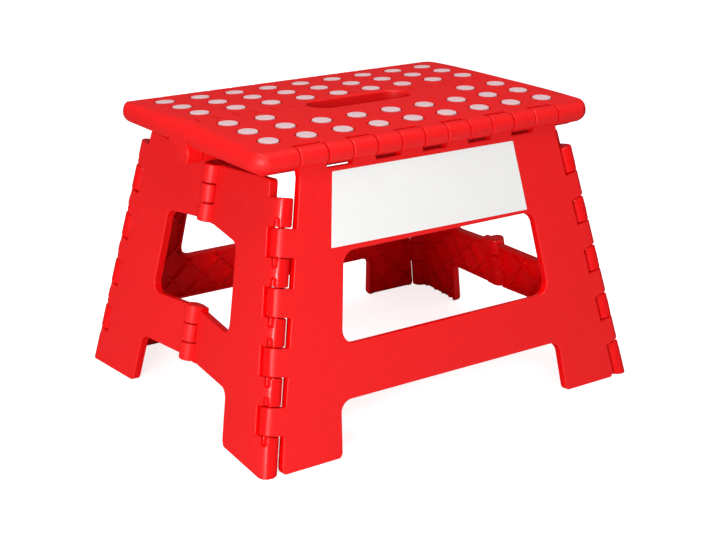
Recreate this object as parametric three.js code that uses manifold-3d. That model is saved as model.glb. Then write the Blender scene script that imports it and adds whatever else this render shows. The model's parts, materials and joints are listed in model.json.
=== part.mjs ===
// A folding step stool of moulded plastic, standing open on the floor.
// Two top halves hinge along the middle, a side panel hangs from each long edge, and each end is
// two half panels that hinge at the corners and against each other, so that they tuck inward
// as the middle of the top is lifted. X runs along the long side, Y across it, Z up from the floor.
import * as THREE from 'three';
import { mergeVertices } from 'three/addons/utils/BufferGeometryUtils.js';
import Module from 'manifold-3d';

const wasm = await Module();
wasm.setup();

const degrees = Math.PI / 180;

// Overall size
const standHeight = 217;
const topLength = 293;
const topDepth = 211;
const crownDrop = 3.1;
const planCornerRadius = 15;
const rimRadius = 10;

// Hinge axes and leaning faces
const foldDepth = 22;
const edgeBarrelRadius = 7.5;
const centreBarrelRadius = 8.5;
const sideLean = 10 * degrees;
const endLean = 11.6 * degrees;
const endTuck = 4.5 * degrees;
const sideFaceOffset = 2.5;
const cornerFootX = 159.8;
const cornerTopDrop = 14.4;

// Walls and running gaps
const plateThickness = 6.5;
const panelSkin = 2.4;
const panelWall = 2.4;
const ribThickness = 2;
const ribPitch = 84;
const topSkin = 3;
const topWall = 2.4;
const rimWall = 6;
const foldGap = 0.3;
const fitGap = 0.3;
const slitGap = 0.7;
const barrelClearance = 1.2;
const lap = 3;
const overrun = 5;

// Top: seam teeth, handle slot and grip dots
const toothEdges = [54.3, 70, 85.7, 101.4, 117.2, 133];
const toothReach = 4.5;
const seamGap = 0.5;
const seamWall = 3;
const lugInset = 1.5;
const slotHalfLength = 44;
const slotFront = -21;
const slotBack = 7;
const dotRadius = 7.1;
const dotPitch = 30;
const dotRaise = 0.5;
const dotsEachWay = 4;
const slotDotShare = 2.5;
const gripRowShares = [0.2333, 0.5389, 0.8444];
const pocketRibShares = [-2.5, -0.5, 0.5, 2.5];
const runnerHalfWidth = 2;
const runnerThickness = 1.6;

// Knuckles on the long edges: the side panels' spans, measured from the middle
const edgeKnuckles = [[10, 30], [50, 70], [90, 112.5]];
const ledgeReach = 8;
const edgePinReach = 120;

// Side panels, as heights above the floor, drops below the panel's top edge and half widths
const sideTopGap = 0.1;
const sideWindow = { drop: 57.2, bottom: 76.8, topHalfWidth: 84, bottomHalfWidth: 93.2, radius: 10 };
const sideLeg = { railHeight: 39, insideAtRail: 98.7, insideAtFloor: 102.6, filletRadius: 9 };
const footRadius = 6;
const panelCornerRadius = 3;

// End halves, as distances from the middle plane, drops below the top and heights above the floor
const endTopDrop = { atCorner: 2.8, atMiddle: 10.8 };
const endWindow = {
  dropAtMiddle: 52.8, dropAtSide: 56.3, topSide: 51.5,
  bottomAtMiddle: 78, bottomAtSide: 75, bottomSide: 59, radius: 8,
};
const endLeg = {
  railAtMiddle: 40, railAtSide: 38.5, insideAtRail: 65.5, insideAtFloor: 71.5, filletRadius: 8,
};

// Corner and middle hinges
const cornerKnucklePitch = 20;
const stubRadius = 2.2;
const stubLength = 5;
const notchHeight = 7.5;
const notchTurn = 30 * degrees;
const middleKnuckleLength = 14.3;
const middleUpperDrop = 11.3;
const middleLowerRise = 3;
const middlePinReach = 4.2;
const mouthFrom = 8 * degrees;
const mouthTo = 80 * degrees;
const mouthClearance = 0.4;
const mouthHeelShare = 1.3;
const socketHalfWidth = 2.9;
const socketReach = 5.3;

// Steel pins and the label
const pinRadius = 1.5;
const label = { left: -90, right: 82.5, topGap: 3.2, bottomGap: 3, thickness: 0.3, gap: 0.1, radius: 2 };

// Facets
const barrelSides = 12;
const pinSides = 6;
const dotSides = 8;
const arcSteps = 3;
const crownSteps = 8;

// Places worked out from the sizes above
const edgeAxisY = topDepth / 2 - edgeBarrelRadius;
const edgeAxisZ = standHeight - crownDrop - edgeBarrelRadius;
const centreAxisZ = standHeight - foldDepth;
const undersideZ = centreAxisZ + foldGap;
const edgeLedge = edgeAxisY - ledgeReach;
const gripRows = gripRowShares.map((share) => share * edgeLedge);
const sideTopHeight = undersideZ - sideTopGap;
const sideWindowTop = sideTopHeight - sideWindow.drop;
const cornerDepth = (edgeAxisZ - centreAxisZ + sideFaceOffset - foldGap) / 2;
const plateInner = cornerDepth - plateThickness;
const plateEdge = cornerDepth + barrelClearance;
const middleDepth = cornerDepth + foldGap;

// A side panel's frame: X along the edge hinge, Y up the panel, Z out of its face
const sideFrame = new THREE.Matrix4().makeRotationX(Math.PI / 2 - sideLean)
  .setPosition(0, -edgeAxisY, edgeAxisZ);

function sideY(height, outward) {
  return (height - edgeAxisZ - outward * Math.sin(sideLean)) / Math.cos(sideLean);
}

// The left front corner axis, from the floor up, and the frames of the two left end halves:
// X across the half toward the middle, Y up the corner axis, Z square to the face
const cornerAxisOutward = sideFaceOffset - cornerDepth;
const cornerFootY = edgeAxisY + cornerAxisOutward / Math.cos(sideLean) + edgeAxisZ * Math.tan(sideLean);
const cornerFoot = new THREE.Vector3(-cornerFootX, -cornerFootY, 0);
const cornerUp = new THREE.Vector3(Math.tan(endLean), Math.tan(sideLean), 1).normalize();
const untuckedNormal = new THREE.Vector3(-1, 0, Math.tan(endLean)).normalize();
const endNormal = untuckedNormal.clone().applyAxisAngle(cornerUp, -endTuck);
const endAcross = endNormal.clone().cross(cornerUp);
const cornerLength = (undersideZ - cornerTopDrop) / cornerUp.z;
const cornerKnuckleCount = 2 * Math.floor(cornerLength / (2 * cornerKnucklePitch)) + 1;

function mirrored(vector) {
  return new THREE.Vector3(vector.x, -vector.y, vector.z);
}

const endFrontFrame = new THREE.Matrix4()
  .makeBasis(endAcross, cornerUp, endNormal.clone().negate())
  .setPosition(cornerFoot);
const endBackFrame = new THREE.Matrix4()
  .makeBasis(mirrored(endAcross), mirrored(cornerUp), mirrored(endNormal))
  .setPosition(mirrored(cornerFoot));

// The middle hinge's axis lies where the plane just outside the end's face meets the middle plane
const middleUp = endNormal.clone().cross(new THREE.Vector3(0, 1, 0)).normalize();
if (middleUp.z < 0) middleUp.negate();
const middleFootX = cornerFoot.x + (middleDepth + endNormal.y * cornerFoot.y) / endNormal.x;
const middleFoot = new THREE.Vector3(middleFootX, 0, 0).sub(cornerFoot);
const middleAcross = new THREE.Vector2(-middleUp.dot(cornerUp), middleUp.dot(endAcross));

// Shapes and solids

function rounded(corners) {
  const points = [];
  corners.forEach(([x, y, radius], index) => {
    const here = new THREE.Vector2(x, y);
    if (radius === 0) {
      points.push(here);
      return;
    }
    const [beforeX, beforeY] = corners[(index + corners.length - 1) % corners.length];
    const [afterX, afterY] = corners[(index + 1) % corners.length];
    const back = new THREE.Vector2(beforeX, beforeY).sub(here).normalize();
    const ahead = new THREE.Vector2(afterX, afterY).sub(here).normalize();
    const halfAngle = Math.acos(back.dot(ahead)) / 2;
    const bisector = back.clone().add(ahead).normalize();
    const centre = here.clone().addScaledVector(bisector, radius / Math.sin(halfAngle));
    const start = here.clone().addScaledVector(back, radius / Math.tan(halfAngle)).sub(centre);
    const end = here.clone().addScaledVector(ahead, radius / Math.tan(halfAngle)).sub(centre);
    const turn = Math.atan2(start.cross(end), start.dot(end));
    for (let step = 0; step <= arcSteps; step += 1) {
      const arm = start.clone().rotateAround(new THREE.Vector2(), turn * step / arcSteps);
      points.push(arm.add(centre));
    }
  });
  return new THREE.Shape(points);
}

// Moves every edge of an anticlockwise outline inward, or outward where the distance is negative
function inset(corners, distance) {
  const count = corners.length;
  return corners.map(([x, y, radius], index) => {
    const [beforeX, beforeY] = corners[(index + count - 1) % count];
    const [afterX, afterY] = corners[(index + 1) % count];
    const into = new THREE.Vector2(x - beforeX, y - beforeY).normalize();
    const out = new THREE.Vector2(afterX - x, afterY - y).normalize();
    const turn = into.cross(out);
    const along = distance * (1 - into.dot(out)) / turn;
    const insetX = x - into.y * distance - into.x * along;
    const insetY = y + into.x * distance - into.y * along;
    const insetRadius = Math.max(radius - Math.sign(turn) * distance, 0);
    return [insetX, insetY, insetRadius];
  });
}

function bothSides(rightCorners) {
  const leftCorners = rightCorners.map(([x, y, radius]) => [-x, y, radius]).reverse();
  return [...rightCorners, ...leftCorners];
}

function toSolid(geometry) {
  geometry.deleteAttribute('normal');
  geometry.deleteAttribute('uv');
  const merged = mergeVertices(geometry);
  const vertProperties = new Float32Array(merged.attributes.position.array);
  const triVerts = new Uint32Array(merged.index.array);
  return new wasm.Manifold(new wasm.Mesh({ numProp: 3, vertProperties, triVerts }));
}

function toGeometry(solid) {
  const { vertProperties, triVerts } = solid.getMesh();
  const geometry = new THREE.BufferGeometry();
  geometry.setAttribute('position', new THREE.BufferAttribute(vertProperties, 3));
  geometry.setIndex(new THREE.BufferAttribute(triVerts, 1));
  const faceted = geometry.toNonIndexed();
  faceted.computeVertexNormals();
  return faceted;
}

function joined(solids) {
  return solids.reduce((whole, solid) => whole.add(solid));
}

function without(solid, cuts) {
  return cuts.reduce((whole, cut) => whole.subtract(cut), solid);
}

function block([x0, x1], [y0, y1], [z0, z1], frame = new THREE.Matrix4()) {
  const size = [x0 - x1, y0 - y1, z0 - z1].map(Math.abs);
  const box = new THREE.BoxGeometry(...size);
  return toSolid(box.translate((x0 + x1) / 2, (y0 + y1) / 2, (z0 + z1) / 2).applyMatrix4(frame));
}

function slab(shape, [z0, z1], frame = new THREE.Matrix4()) {
  const depth = Math.abs(z1 - z0);
  const geometry = new THREE.ExtrudeGeometry(shape, { depth, bevelEnabled: false });
  return toSolid(geometry.translate(0, 0, Math.min(z0, z1)).applyMatrix4(frame));
}

// A bar along X with its section drawn in Y and Z
const alongX = new THREE.Matrix4()
  .makeBasis(new THREE.Vector3(0, 1, 0), new THREE.Vector3(0, 0, 1), new THREE.Vector3(1, 0, 0));

function bar(points, span) {
  return slab(new THREE.Shape(points), span, alongX);
}

// A cylinder along Y, moved by a frame
function rod(radius, [y0, y1], sides = barrelSides, frame = new THREE.Matrix4()) {
  const cylinder = new THREE.CylinderGeometry(radius, radius, y1 - y0, sides);
  return toSolid(cylinder.translate(0, (y0 + y1) / 2, 0).applyMatrix4(frame));
}

const yToX = new THREE.Matrix4().makeRotationZ(-Math.PI / 2);
const yToZ = new THREE.Matrix4().makeRotationX(Math.PI / 2);

function rodAlongX(radius, span, y, z, sides) {
  return rod(radius, span, sides, new THREE.Matrix4().makeTranslation(0, y, z).multiply(yToX));
}

function rodAlongZ(radius, span, x, y, sides) {
  return rod(radius, span, sides, new THREE.Matrix4().makeTranslation(x, y, 0).multiply(yToZ));
}

// Top halves

function crown(y) {
  return standHeight - crownDrop * (y / edgeAxisY) ** 2;
}

function topSection() {
  const points = [];
  const addBarrel = (centreY, from) => {
    for (let step = 0; step <= barrelSides / 2; step += 1) {
      const angle = from + Math.PI * step / (barrelSides / 2);
      const y = centreY + edgeBarrelRadius * Math.cos(angle);
      points.push(new THREE.Vector2(y, edgeAxisZ + edgeBarrelRadius * Math.sin(angle)));
    }
  };
  points.push(new THREE.Vector2(-edgeLedge, undersideZ), new THREE.Vector2(edgeLedge, undersideZ));
  addBarrel(edgeAxisY, -Math.PI / 2);
  for (let step = 1; step < crownSteps; step += 1) {
    const y = edgeAxisY * (1 - 2 * step / crownSteps);
    points.push(new THREE.Vector2(y, crown(y)));
  }
  addBarrel(-edgeAxisY, Math.PI / 2);
  return points;
}

function topPlan() {
  const [x, y, radius] = [topLength / 2, topDepth / 2, planCornerRadius];
  const outline = rounded([[-x, -y, radius], [x, -y, radius], [x, y, radius], [-x, y, radius]]);
  const depth = 2 * foldDepth;
  const geometry = new THREE.ExtrudeGeometry(outline, {
    depth,
    bevelThickness: rimRadius,
    bevelSize: rimRadius,
    bevelOffset: -rimRadius,
    bevelSegments: arcSteps,
  });
  return toSolid(geometry.translate(0, 0, standHeight - rimRadius - depth));
}

function wholeTop() {
  return bar(topSection(), [-topLength, topLength]).intersect(topPlan());
}

// The spans along X in which a half owns the seam: the front has every other tooth, the back the rest
function seamSpans(isFront) {
  const lugEnd = topLength / 2 - lugInset;
  const edges = [...toothEdges, lugEnd];
  const spans = isFront ? [] : [[-toothEdges[0], toothEdges[0]]];
  edges.slice(0, -1).forEach((start, index) => {
    const ownedByFront = index % 2 === 0;
    if (ownedByFront === isFront) {
      spans.push([start, edges[index + 1]], [-edges[index + 1], -start]);
    }
  });
  return spans.map(([start, end]) => [start + slitGap / 2, end - slitGap / 2]);
}

function slotShape(growth) {
  const middle = (slotFront + slotBack) / 2;
  const radius = (slotBack - slotFront) / 2 + growth;
  const reach = slotHalfLength + growth - radius;
  const shape = new THREE.Shape();
  shape.absarc(reach, middle, radius, -Math.PI / 2, Math.PI / 2, false);
  shape.absarc(-reach, middle, radius, Math.PI / 2, Math.PI * 1.5, false);
  return shape;
}

function slotCut(growth) {
  const shape = slotShape(growth);
  const geometry = new THREE.ExtrudeGeometry(shape, {
    depth: 2 * foldDepth, bevelEnabled: false, curveSegments: barrelSides / 2,
  });
  return toSolid(geometry.translate(0, 0, centreAxisZ - foldDepth));
}

// Ribs stand half way between the dots, both ways
function pocketRows() {
  const halfRib = ribThickness / 2;
  const first = centreBarrelRadius + seamGap + seamWall;
  const last = edgeLedge - topWall;
  const between = gripRows.slice(1).map((row, index) => (row + gripRows[index]) / 2);
  const starts = [first, ...between.map((y) => y + halfRib)];
  const ends = [...between.map((y) => y - halfRib), last];
  return starts.map((start, index) => [start, ends[index]]);
}

function pocketColumns() {
  const halfRib = ribThickness / 2;
  const end = topLength / 2 - rimWall;
  const ribs = pocketRibShares.map((share) => share * dotPitch);
  const starts = [-end, ...ribs.map((x) => x + halfRib)];
  const ends = [...ribs.map((x) => x - halfRib), end];
  return starts.map((start, index) => [start, ends[index]]);
}

function ceiling(rowSpan) {
  return crown(rowSpan[1]) - topSkin;
}

function facing(side, [near, far]) {
  return side > 0 ? [near, far] : [-far, -near];
}

function topPockets(side) {
  const pockets = [];
  for (const row of pocketRows()) {
    for (const column of pocketColumns()) {
      pockets.push(block(column, facing(side, row), [undersideZ - overrun, ceiling(row)]));
    }
  }
  return without(joined(pockets), [slotCut(topWall)]);
}

// The dots of a row, by the half's side: the handle slot leaves the front's inner row its outer pairs
function dotPlaces(side, rowIndex) {
  const all = [];
  for (let count = -dotsEachWay; count <= dotsEachWay; count += 1) {
    all.push(count * dotPitch);
  }
  const atSlot = side < 0 && rowIndex === 0;
  if (!atSlot) return [all];
  const clear = slotDotShare * dotPitch;
  return [all.filter((x) => x < -clear), all.filter((x) => x > clear)];
}

function runner(places, side, rowIndex, growth) {
  const y = side * gripRows[rowIndex];
  const top = ceiling(pocketRows()[rowIndex]) - fitGap;
  const halfWidth = runnerHalfWidth + growth;
  return block(
    [places[0] - growth, places[places.length - 1] + growth],
    [y - halfWidth, y + halfWidth],
    [top - runnerThickness - growth, top + growth],
  );
}

function grip(side, rowIndex, placeIndex = 0) {
  const places = dotPlaces(side, rowIndex)[placeIndex];
  const y = side * gripRows[rowIndex];
  const bottom = ceiling(pocketRows()[rowIndex]) - fitGap - runnerThickness;
  const dots = places.map((x) => rodAlongZ(dotRadius, [bottom, crown(y) + dotRaise], x, y, dotSides));
  return joined([runner(places, side, rowIndex, 0), ...dots]);
}

function gripCuts(side) {
  const cuts = [];
  gripRows.forEach((row, rowIndex) => {
    for (const places of dotPlaces(side, rowIndex)) {
      cuts.push(runner(places, side, rowIndex, fitGap));
      for (const x of places) {
        const span = [ceiling(pocketRows()[rowIndex]) - topSkin, standHeight + overrun];
        cuts.push(rodAlongZ(dotRadius + fitGap, span, x, side * row, dotSides));
      }
    }
  });
  return cuts;
}

// The seam leans from the tooth's tip at the crown out to the barrel at the hinge axis
function seamBar(side, tipDistance, axisDistance, span) {
  const far = topDepth;
  const slope = (axisDistance - tipDistance) / foldDepth;
  const above = tipDistance - slope * overrun;
  return bar([
    new THREE.Vector2(side * above, standHeight + overrun),
    new THREE.Vector2(side * far, standHeight + overrun),
    new THREE.Vector2(side * far, centreAxisZ),
    new THREE.Vector2(side * axisDistance, centreAxisZ),
  ], span);
}

function edgeSpans(halfGap) {
  return edgeKnuckles.flatMap(([start, end]) => [
    [start - halfGap, end + halfGap],
    [-end - halfGap, -start + halfGap],
  ]);
}

function topHalf(side) {
  const isFront = side < 0;
  const recess = seamBar(side, toothReach + seamGap, centreBarrelRadius + seamGap, [-topLength, topLength]);
  const spans = seamSpans(isFront);
  const teeth = spans.map((span) => seamBar(side, -toothReach, -centreBarrelRadius, span));
  const body = wholeTop().intersect(joined([recess, ...teeth]));
  const reach = slotHalfLength + topWall;
  const barrelSpans = spans.flatMap(([start, end]) => (
    start < 0 && end > 0 ? [[start, -reach], [reach, end]] : [[start, end]]
  ));
  const barrels = barrelSpans.map((span) => rodAlongX(centreBarrelRadius, span, 0, centreAxisZ));
  const ledges = edgeSpans(slitGap / 2).map((span) => (
    block(span, facing(side, [edgeLedge, topDepth]), [0, standHeight + overrun])
  ));
  const boreSpan = [-edgePinReach - fitGap, topLength];
  const edgeBore = rodAlongX(pinRadius + fitGap, boreSpan, side * edgeAxisY, edgeAxisZ, pinSides);
  const hollow = without(body, [topPockets(side), slotCut(0)]);
  return without(joined([hollow, ...barrels]), [...ledges, ...centreBores(), edgeBore, ...gripCuts(side)]);
}

function centrePinSpan() {
  return [slotHalfLength + topWall + fitGap, topLength / 2 - lugInset - topWall];
}

function centreBores() {
  const [start, end] = centrePinSpan();
  const mouth = start - overrun;
  return [[mouth, end + fitGap], [-end - fitGap, -mouth]].map((span) => (
    rodAlongX(pinRadius + fitGap, span, 0, centreAxisZ, pinSides)
  ));
}

// Corner hinge knuckles, in a frame whose Y is the corner axis and X runs into the panel.
// The hand is 1 where the panel's outer face looks along Z and -1 where it looks back

// The knuckles take turns from the top down, and the last one runs to the floor
function cornerSpans(isEnd) {
  const spans = [];
  for (let index = isEnd ? 0 : 1; index < cornerKnuckleCount; index += 2) {
    const top = cornerLength - index * cornerKnucklePitch;
    const isLast = index === cornerKnuckleCount - 1;
    const bottom = isLast ? -overrun : top - cornerKnucklePitch + slitGap / 2;
    spans.push([bottom, index === 0 ? top : top - slitGap / 2]);
  }
  return spans;
}

function cornerKnuckles(hand, isEnd) {
  return cornerSpans(isEnd).flatMap((span) => [
    rod(cornerDepth, span),
    block([0, plateEdge + lap], span, [hand * plateInner, hand * cornerDepth]),
  ]);
}

// Short trunnions on both ends of a side panel's knuckles turn in the end halves' knuckles
function cornerStubs() {
  return cornerSpans(false).map(([bottom, top]) => (
    rod(stubRadius, [bottom - stubLength, top + stubLength], pinSides)
  ));
}

function cornerRecesses(hand) {
  const turn = new THREE.Matrix4().makeRotationY(-hand * (Math.PI / 2 + notchTurn));
  const socketRadius = stubRadius + mouthClearance;
  return cornerSpans(false).flatMap(([bottom, top]) => [
    rod(socketRadius, [bottom - stubLength - mouthClearance, top + stubLength + mouthClearance], pinSides),
    block([0, 2 * cornerDepth], [bottom - notchHeight, bottom], [-socketRadius, socketRadius], turn),
    block([0, 2 * cornerDepth], [top, top + notchHeight], [-socketRadius, socketRadius], turn),
  ]);
}

function belowFloor(frame) {
  const size = topLength * 2;
  return block([-size, size], [-size, size], [-size, 0], frame.clone().invert());
}

// Ribs that cross in diamonds, in a panel's own plane
function diamondRibs(depthSpan) {
  const ribs = [];
  const reach = topLength;
  for (const turn of [Math.PI / 4, -Math.PI / 4]) {
    const frame = new THREE.Matrix4().makeRotationZ(turn);
    const step = ribPitch * Math.SQRT1_2;
    for (let offset = -step * Math.ceil(reach / step); offset <= reach; offset += step) {
      const across = [offset - ribThickness / 2, offset + ribThickness / 2];
      ribs.push(block(across, [-reach, reach], depthSpan, frame));
    }
  }
  return joined(ribs);
}

// A panel is a plate with a thin outer skin: everything behind the skin is hollow but the walls and ribs
function panel(outline, windows, hand, innerFace, outerFace) {
  const skinFace = outerFace - hand * panelSkin;
  const behind = innerFace - hand * overrun;
  const plate = without(
    slab(rounded(outline), [innerFace, outerFace]),
    windows.map((window) => slab(rounded(window), [behind, outerFace + hand * overrun])),
  );
  const hollow = without(
    slab(rounded(inset(outline, panelWall)), [behind, skinFace]),
    [
      ...windows.map((window) => slab(rounded(inset(window, -panelWall)), [behind, skinFace])),
      diamondRibs([behind, skinFace]),
    ],
  );
  return plate.subtract(hollow);
}

// Side panels

function cornerXAt(height) {
  return cornerFootX - Math.tan(endLean) * height;
}

const cornerSlant = Math.atan(Math.tan(endLean) * Math.cos(sideLean));

function sideEdgeX(y) {
  const height = edgeAxisZ + y * Math.cos(sideLean) + cornerAxisOutward * Math.sin(sideLean);
  return cornerXAt(height) - plateEdge / Math.cos(cornerSlant);
}

function sideOutline() {
  const topY = sideY(sideTopHeight, sideFaceOffset);
  const railY = sideY(sideLeg.railHeight, sideFaceOffset);
  const footY = sideY(0, sideFaceOffset) - footRadius * Math.sin(sideLean);
  return bothSides([
    [sideLeg.insideAtRail, railY, sideLeg.filletRadius],
    [sideLeg.insideAtFloor, footY, footRadius],
    [sideEdgeX(footY), footY, footRadius],
    [sideEdgeX(topY), topY, panelCornerRadius],
  ]);
}

function sideWindowOutline() {
  const { bottom, topHalfWidth, bottomHalfWidth, radius } = sideWindow;
  return bothSides([
    [bottomHalfWidth, sideY(bottom, sideFaceOffset), radius],
    [topHalfWidth, sideY(sideWindowTop, sideFaceOffset), radius],
  ]);
}

function sideCornerFrame(hand) {
  const slant = hand * cornerSlant;
  const up = new THREE.Vector3(Math.sin(slant), Math.cos(slant), 0);
  const into = new THREE.Vector3(hand * Math.cos(slant), -hand * Math.sin(slant), 0);
  const out = into.clone().cross(up);
  return new THREE.Matrix4().makeBasis(into, up, out)
    .setPosition(-hand * cornerFootX, sideY(0, cornerAxisOutward), cornerAxisOutward);
}

function sidePanel() {
  const inner = sideFaceOffset - plateThickness;
  const topY = sideY(sideTopHeight, sideFaceOffset);
  const plate = panel(sideOutline(), [sideWindowOutline()], 1, inner, sideFaceOffset);
  const knuckles = edgeSpans(-slitGap / 2).flatMap((span) => [
    rodAlongX(edgeBarrelRadius, span, 0, 0),
    block(span, [topY - lap, 0], [inner, sideFaceOffset]),
  ]);
  const corners = [1, -1].flatMap((hand) => {
    const frame = sideCornerFrame(hand);
    return [...cornerKnuckles(hand, false), ...cornerStubs()].map((solid) => moved(solid, frame));
  });
  const bore = rodAlongX(pinRadius + fitGap, [-topLength, topLength], 0, 0, pinSides);
  return without(joined([plate, ...knuckles, ...corners]), [bore, belowFloor(sideFrame)]);
}

function moved(solid, frame) {
  return toSolid(toGeometry(solid).applyMatrix4(frame));
}

// End halves

function endPoint(distance, height) {
  const fromFoot = new THREE.Vector3(0, -distance, height).sub(cornerFoot);
  fromFoot.x = (cornerDepth - endNormal.y * fromFoot.y - endNormal.z * fromFoot.z) / endNormal.x;
  return [fromFoot.dot(endAcross), fromFoot.dot(cornerUp)];
}

function cornerEdgePoint(height) {
  return [plateEdge, (height - plateEdge * endAcross.z - cornerDepth * endNormal.z) / cornerUp.z];
}

function middlePoint(height, distance) {
  const up = height / middleUp.z;
  const across = middleFoot.dot(endAcross) + up * middleUp.dot(endAcross) + distance * middleAcross.x;
  const along = middleFoot.dot(cornerUp) + up * middleUp.dot(cornerUp) + distance * middleAcross.y;
  return [across, along];
}

function endOutline() {
  return [
    [...cornerEdgePoint(-footRadius * Math.sin(endLean)), 0],
    [...endPoint(endLeg.insideAtFloor, -footRadius * Math.sin(endLean)), endLeg.filletRadius],
    [...endPoint(endLeg.insideAtRail, endLeg.railAtSide), endLeg.filletRadius],
    [...middlePoint(endLeg.railAtMiddle, plateEdge), 0],
    [...middlePoint(endWindow.bottomAtMiddle, plateEdge), 0],
    [...endPoint(endWindow.bottomSide, endWindow.bottomAtSide), endWindow.radius],
    [...endPoint(endWindow.topSide, undersideZ - endWindow.dropAtSide), endWindow.radius],
    [...middlePoint(undersideZ - endWindow.dropAtMiddle, plateEdge), 0],
    [...middlePoint(undersideZ - endTopDrop.atMiddle, plateEdge), panelCornerRadius],
    [...cornerEdgePoint(undersideZ - endTopDrop.atCorner), panelCornerRadius],
  ];
}

// The middle axis's frame inside an end half: Y up the axis, X into the half's plate
function middleFrame(hand) {
  const up = new THREE.Vector3(middleUp.dot(endAcross), middleUp.dot(cornerUp), 0);
  const into = new THREE.Vector3(middleAcross.x, middleAcross.y, 0);
  return new THREE.Matrix4().makeBasis(into, up, into.clone().cross(up))
    .setPosition(middleFoot.dot(endAcross), middleFoot.dot(cornerUp), hand * middleDepth);
}

function middleSpans(orders) {
  const groupTops = [undersideZ - middleUpperDrop, endWindow.bottomAtMiddle + middleLowerRise];
  return groupTops.flatMap((groupTop) => orders.map((order) => {
    const top = groupTop / middleUp.z - order * middleKnuckleLength;
    return [top - middleKnuckleLength + slitGap / 2, top - slitGap / 2];
  }));
}

function middlePinSpans() {
  return middleSpans([1]).map(([bottom, top]) => [bottom - middlePinReach, top + middlePinReach]);
}

// While the stool is half folded the two halves of an end drift apart at the middle hinge.
// The upper pin's ends leave through mouths that are open outward and ahead, and the lower pin's
// ends stay in sockets that are long enough for them. Outlines are drawn ahead and outward of the axis
function mouthOutline() {
  const heel = pinRadius + mouthClearance;
  const rim = 2 * cornerDepth;
  return [
    [-heel, -heel],
    [heel, -heel],
    [rim * Math.cos(mouthFrom), rim * Math.sin(mouthFrom)],
    [rim, rim],
    [rim * Math.cos(mouthTo), rim * Math.sin(mouthTo)],
    [-heel, heel * mouthHeelShare],
  ];
}

function socketOutline() {
  const tip = pinRadius + mouthClearance;
  return [
    [-socketHalfWidth, -socketHalfWidth],
    [socketHalfWidth, -socketHalfWidth],
    [socketHalfWidth, socketHalfWidth],
    [tip, socketReach],
    [-tip, socketReach],
    [-socketHalfWidth, socketHalfWidth],
  ];
}

function pinSockets(hand) {
  const frame = new THREE.Matrix4().makeRotationX(-Math.PI / 2);
  const outlines = [mouthOutline(), socketOutline()];
  return middlePinSpans().map(([bottom, top], index) => {
    const corners = outlines[index].map(([ahead, out]) => new THREE.Vector2(-ahead, hand * out));
    return slab(new THREE.Shape(corners), [bottom - mouthClearance, top + mouthClearance], frame);
  });
}

function endHalf(hand, isOuterPair) {
  const outline = endOutline();
  const plate = panel(outline, [], hand, hand * plateInner, hand * cornerDepth);
  const frame = middleFrame(hand);
  const orders = isOuterPair ? [0, 2] : [1];
  const middleKnuckles = middleSpans(orders).flatMap((span) => [
    rod(cornerDepth, span),
    block([0, plateEdge + lap], span, [hand * foldGap, hand * (foldGap + plateThickness)]),
  ]);
  const bores = middlePinSpans().map((span) => rod(pinRadius + fitGap, span, pinSides));
  const sockets = isOuterPair ? pinSockets(hand) : bores;
  const middle = without(joined(middleKnuckles), sockets);
  const body = without(joined([plate, ...cornerKnuckles(hand, true)]), cornerRecesses(hand));
  const floorFrame = hand < 0 ? endFrontFrame : endBackFrame;
  return without(joined([body, moved(middle, frame)]), [belowFloor(floorFrame)]);
}

function middlePin(index) {
  return moved(rod(pinRadius, middlePinSpans()[index], pinSides), middleFrame(1));
}

// Materials

const redPlastic = { color: 0xe0161c, roughness: 0.42, metalness: 0 };
const greyRubber = { color: 0xd9c9cc, roughness: 0.75, metalness: 0 };
const steel = { color: 0xb4b7ba, roughness: 0.3, metalness: 1 };
const whitePaper = { color: 0xf4f3f0, roughness: 0.5, metalness: 0 };

function piece(name, solid, look, frame = new THREE.Matrix4()) {
  const mesh = new THREE.Mesh(toGeometry(solid), new THREE.MeshStandardMaterial(look));
  mesh.name = name;
  mesh.applyMatrix4(frame);
  return mesh;
}

// The stool

const halfTurn = new THREE.Matrix4().makeRotationZ(Math.PI);

function turned(frame) {
  return halfTurn.clone().multiply(frame);
}

function labelSheet() {
  const { left, right, topGap, bottomGap, thickness, gap, radius } = label;
  const upper = sideY(sideTopHeight - topGap, sideFaceOffset);
  const lower = sideY(sideWindowTop + bottomGap, sideFaceOffset);
  const bottomCorners = [[left, lower, radius], [right, lower, radius]];
  const topCorners = [[right, upper, radius], [left, upper, radius]];
  const back = sideFaceOffset + gap;
  return slab(rounded([...bottomCorners, ...topCorners]), [back, back + thickness]);
}

const stool = new THREE.Group();
const sideBody = sidePanel();
stool.add(piece('side_front', sideBody, redPlastic, sideFrame));
stool.add(piece('side_back', sideBody, redPlastic, turned(sideFrame)));

const outerPair = endHalf(-1, true);
const single = endHalf(1, false);
stool.add(piece('end_left_front', outerPair, redPlastic, endFrontFrame));
stool.add(piece('end_left_back', single, redPlastic, endBackFrame));
stool.add(piece('end_right_front', single, redPlastic, turned(endBackFrame)));
stool.add(piece('end_right_back', outerPair, redPlastic, turned(endFrontFrame)));

['upper', 'lower'].forEach((level, index) => {
  stool.add(piece(`pin_middle_left_${level}`, middlePin(index), steel, endBackFrame));
  stool.add(piece(`pin_middle_right_${level}`, middlePin(index), steel, turned(endBackFrame)));
});

stool.add(piece('top_front', topHalf(-1), redPlastic));
stool.add(piece('top_back', topHalf(1), redPlastic));

function topPin(name, span, y, z) {
  return piece(name, rodAlongX(pinRadius, span, y, z, pinSides), steel);
}

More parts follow.
